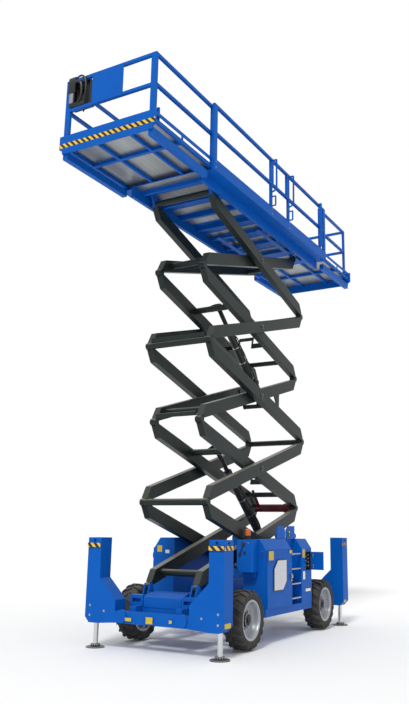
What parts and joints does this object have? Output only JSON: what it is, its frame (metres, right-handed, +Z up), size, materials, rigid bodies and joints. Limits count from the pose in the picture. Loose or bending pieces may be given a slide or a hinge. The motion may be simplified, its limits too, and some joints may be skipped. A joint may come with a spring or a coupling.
{
  "type": "scissor lift",
  "caption": "Rough-terrain scissor lift: stabiliser legs, side cabinets, lift cylinders between hinged arms and a railed platform with a roll-out deck at each end.",
  "frame": {"origin": "on the ground under the centre of the chassis, between the stabiliser legs", "axes": "+X to the front, where the longer roll-out deck is; +Y to the left side with the ladder; +Z up"},
  "size_m": [7.83, 2.4942, 8.4],
  "materials": {
    "blue_paint": "gloss",
    "arm_paint": "satin",
    "black_paint": "satin",
    "amber_lens": "gloss",
    "maroon_paint": "satin",
    "grey_plastic": "matte",
    "engine_iron": "rough",
    "chrome_rod": "polished",
    "tyre_rubber": "matte",
    "rim_paint": "satin",
    "black_plastic": "matte"
  },
  "bodies": {
    "chassis": {"chassis_frame": "blue_paint", "roller_tracks": "blue_paint", "front_axle": "black_paint", "rear_axle": "black_paint", "front_outriggers": "blue_paint", "rear_outriggers": "blue_paint", "left_cabinet": "blue_paint", "right_cabinet": "blue_paint", "ladder": "blue_paint", "manual_box": "blue_paint", "beacon": "amber_lens", "ground_control_panel": "grey_plastic", "engine_block": "engine_iron"},
    "leg_front_left": {"leg_front_left": "chrome_rod"},
    "wheel_front_left": {"tyre_front_left": "tyre_rubber", "rim_front_left": "rim_paint"},
    "leg_front_right": {"leg_front_right": "chrome_rod"},
    "wheel_front_right": {"tyre_front_right": "tyre_rubber", "rim_front_right": "rim_paint"},
    "leg_rear_left": {"leg_rear_left": "chrome_rod"},
    "wheel_rear_left": {"tyre_rear_left": "tyre_rubber", "rim_rear_left": "rim_paint"},
    "leg_rear_right": {"leg_rear_right": "chrome_rod"},
    "wheel_rear_right": {"tyre_rear_right": "tyre_rubber", "rim_rear_right": "rim_paint"},
    "knuckle_left": {"knuckle_left": "black_paint"},
    "left_door": {"left_door": "blue_paint"},
    "knuckle_right": {"knuckle_right": "black_paint"},
    "right_door": {"right_door": "blue_paint"},
    "control_door": {"control_door": "blue_paint"},
    "arms_1_inner": {"arms_1_inner": "arm_paint", "maintenance_prop": "maroon_paint"},
    "arms_1_outer": {"arms_1_outer": "arm_paint"},
    "arms_2_inner": {"arms_2_inner": "arm_paint"},
    "arms_2_outer": {"arms_2_outer": "arm_paint"},
    "arms_3_inner": {"arms_3_inner": "arm_paint"},
    "arms_3_outer": {"arms_3_outer": "arm_paint"},
    "arms_4_inner": {"arms_4_inner": "arm_paint"},
    "arms_4_outer": {"arms_4_outer": "arm_paint"},
    "arms_5_inner": {"arms_5_inner": "arm_paint"},
    "arms_5_outer": {"arms_5_outer": "arm_paint"},
    "lower_barrel": {"lower_barrel": "black_paint"},
    "lower_rod": {"lower_rod": "chrome_rod"},
    "upper_barrel": {"upper_barrel": "black_paint"},
    "upper_rod": {"upper_rod": "chrome_rod"},
    "platform": {"platform_deck": "blue_paint", "main_rails": "blue_paint"},
    "entry_gate": {"entry_gate": "blue_paint"},
    "front_deck": {"front_deck": "blue_paint", "front_rails": "blue_paint", "platform_control_box": "black_plastic", "front_panel": "blue_paint"},
    "rear_deck": {"rear_deck": "blue_paint", "rear_rails": "blue_paint"}
  },
  "joints": [
    {"name": "lift", "type": "hinge", "parent": "chassis", "child": "arms_1_inner", "pos_m": [1.876, 0, 0.872], "axis": [0, 1, 0], "range_deg": [-16.2, 34.4]},
    {"name": "arms_1_outer_hinge", "type": "hinge", "parent": "arms_1_inner", "child": "arms_1_outer", "pos_m": [0.11089, 0, 1.4985], "axis": [0, 1, 0], "range_deg": [-69.8, 33.4]},
    {"name": "arms_2_outer_hinge", "type": "hinge", "parent": "arms_1_outer", "child": "arms_2_outer", "pos_m": [1.876, 0, 2.125], "axis": [0, 1, 0], "range_deg": [-33.4, 69.8]},
    {"name": "arms_2_inner_hinge", "type": "hinge", "parent": "arms_2_outer", "child": "arms_2_inner", "pos_m": [0.11089, 0, 2.7515], "axis": [0, 1, 0], "range_deg": [-69.8, 33.4]},
    {"name": "arms_3_inner_hinge", "type": "hinge", "parent": "arms_2_inner", "child": "arms_3_inner", "pos_m": [1.876, 0, 3.378], "axis": [0, 1, 0], "range_deg": [-33.4, 69.8]},
    {"name": "arms_3_outer_hinge", "type": "hinge", "parent": "arms_3_inner", "child": "arms_3_outer", "pos_m": [0.11089, 0, 4.0045], "axis": [0, 1, 0], "range_deg": [-69.8, 33.4]},
    {"name": "arms_4_outer_hinge", "type": "hinge", "parent": "arms_3_outer", "child": "arms_4_outer", "pos_m": [1.876, 0, 4.631], "axis": [0, 1, 0], "range_deg": [-33.4, 69.8]},
    {"name": "arms_4_inner_hinge", "type": "hinge", "parent": "arms_4_outer", "child": "arms_4_inner", "pos_m": [0.11089, 0, 5.2575], "axis": [0, 1, 0], "range_deg": [-69.8, 33.4]},
    {"name": "arms_5_inner_hinge", "type": "hinge", "parent": "arms_4_inner", "child": "arms_5_inner", "pos_m": [1.876, 0, 5.884], "axis": [0, 1, 0], "range_deg": [-33.4, 69.8]},
    {"name": "arms_5_outer_hinge", "type": "hinge", "parent": "arms_5_inner", "child": "arms_5_outer", "pos_m": [0.11089, 0, 6.5105], "axis": [0, 1, 0], "range_deg": [-69.8, 33.4]},
    {"name": "platform_hinge", "type": "hinge", "parent": "arms_5_outer", "child": "platform", "pos_m": [1.876, 0, 7.137], "axis": [0, 1, 0], "range_deg": [-17.2, 35.4]},
    {"name": "lower_barrel_hinge", "type": "hinge", "parent": "arms_1_inner", "child": "lower_barrel", "pos_m": [-1.03953, 0, 1.62552], "axis": [0, 1, 0], "range_deg": [-69.56, 33.29]},
    {"name": "lower_rod_slide", "type": "slide", "parent": "lower_barrel", "child": "lower_rod", "axis": [0.7606, 0, 0.6492], "range_m": [-0.3972, 0.8377]},
    {"name": "upper_barrel_hinge", "type": "hinge", "parent": "arms_3_inner", "child": "upper_barrel", "pos_m": [-1.03953, 0, 4.13152], "axis": [0, 1, 0], "range_deg": [-69.56, 33.29]},
    {"name": "upper_rod_slide", "type": "slide", "parent": "upper_barrel", "child": "upper_rod", "axis": [0.7606, 0, 0.6492], "range_m": [-0.3972, 0.8377]},
    {"name": "front_deck_slide", "type": "slide", "parent": "platform", "child": "front_deck", "axis": [1, 0, 0], "range_m": [-1.5, 0]},
    {"name": "rear_deck_slide", "type": "slide", "parent": "platform", "child": "rear_deck", "axis": [-1, 0, 0], "range_m": [-1.5, 0]},
    {"name": "entry_gate_hinge", "type": "hinge", "parent": "platform", "child": "entry_gate", "pos_m": [0.258, 0.85, 8], "axis": [0, 0, 1], "range_deg": [0, 90]},
    {"name": "leg_front_left_slide", "type": "slide", "parent": "chassis", "child": "leg_front_left", "axis": [0, 0, 1], "range_m": [0, 0.3]},
    {"name": "leg_front_right_slide", "type": "slide", "parent": "chassis", "child": "leg_front_right", "axis": [0, 0, 1], "range_m": [0, 0.3]},
    {"name": "leg_rear_left_slide", "type": "slide", "parent": "chassis", "child": "leg_rear_left", "axis": [0, 0, 1], "range_m": [0, 0.3]},
    {"name": "leg_rear_right_slide", "type": "slide", "parent": "chassis", "child": "leg_rear_right", "axis": [0, 0, 1], "range_m": [0, 0.3]},
    {"name": "steer_left", "type": "hinge", "parent": "chassis", "child": "knuckle_left", "pos_m": [1.376, 0.8, 0.435], "axis": [0, 0, 1], "range_deg": [-30, 30]},
    {"name": "steer_right", "type": "hinge", "parent": "chassis", "child": "knuckle_right", "pos_m": [1.376, -0.8, 0.435], "axis": [0, 0, 1], "range_deg": [-31, 31]},
    {"name": "wheel_front_left_spin", "type": "hinge", "parent": "knuckle_left", "child": "wheel_front_left", "pos_m": [1.376, 0.956, 0.435], "axis": [0, 1, 0], "continuous": true},
    {"name": "wheel_rear_left_spin", "type": "hinge", "parent": "chassis", "child": "wheel_rear_left", "pos_m": [-1.498, 0.956, 0.435], "axis": [0, 1, 0], "continuous": true},
    {"name": "wheel_front_right_spin", "type": "hinge", "parent": "knuckle_right", "child": "wheel_front_right", "pos_m": [1.376, -0.956, 0.435], "axis": [0, 1, 0], "continuous": true},
    {"name": "wheel_rear_right_spin", "type": "hinge", "parent": "chassis", "child": "wheel_rear_right", "pos_m": [-1.498, -0.956, 0.435], "axis": [0, 1, 0], "continuous": true},
    {"name": "left_door_hinge", "type": "hinge", "parent": "chassis", "child": "left_door", "pos_m": [0.824, 1.077, 0.97], "axis": [0, 0, -1], "range_deg": [0, 110]},
    {"name": "right_door_hinge", "type": "hinge", "parent": "chassis", "child": "right_door", "pos_m": [0.824, -1.077, 0.97], "axis": [0, 0, 1], "range_deg": [0, 110]},
    {"name": "control_door_hinge", "type": "hinge", "parent": "chassis", "child": "control_door", "pos_m": [-0.956, 1.064, 1.2], "axis": [0, 0, 1], "range_deg": [-90, 20]}
  ],
  "couplings": [
    {"joint": "arms_1_outer_hinge", "follows": "lift", "ratio": -2},
    {"joint": "arms_2_outer_hinge", "follows": "lift", "ratio": 2},
    {"joint": "arms_2_inner_hinge", "follows": "lift", "ratio": -2},
    {"joint": "arms_3_inner_hinge", "follows": "lift", "ratio": 2},
    {"joint": "arms_3_outer_hinge", "follows": "lift", "ratio": -2},
    {"joint": "arms_4_outer_hinge", "follows": "lift", "ratio": 2},
    {"joint": "arms_4_inner_hinge", "follows": "lift", "ratio": -2},
    {"joint": "arms_5_inner_hinge", "follows": "lift", "ratio": 2},
    {"joint": "arms_5_outer_hinge", "follows": "lift", "ratio": -2},
    {"joint": "platform_hinge", "follows": "lift", "ratio": 1},
    {"joint": "lower_barrel_hinge", "follows": "lift", "ratio": -1.993},
    {"joint": "lower_rod_slide", "follows": "lift", "m_per_rad": 1.387},
    {"joint": "upper_barrel_hinge", "follows": "lift", "ratio": -1.993},
    {"joint": "upper_rod_slide", "follows": "lift", "m_per_rad": 1.387},
    {"joint": "steer_right", "follows": "steer_left", "ratio": 1}
  ]
}
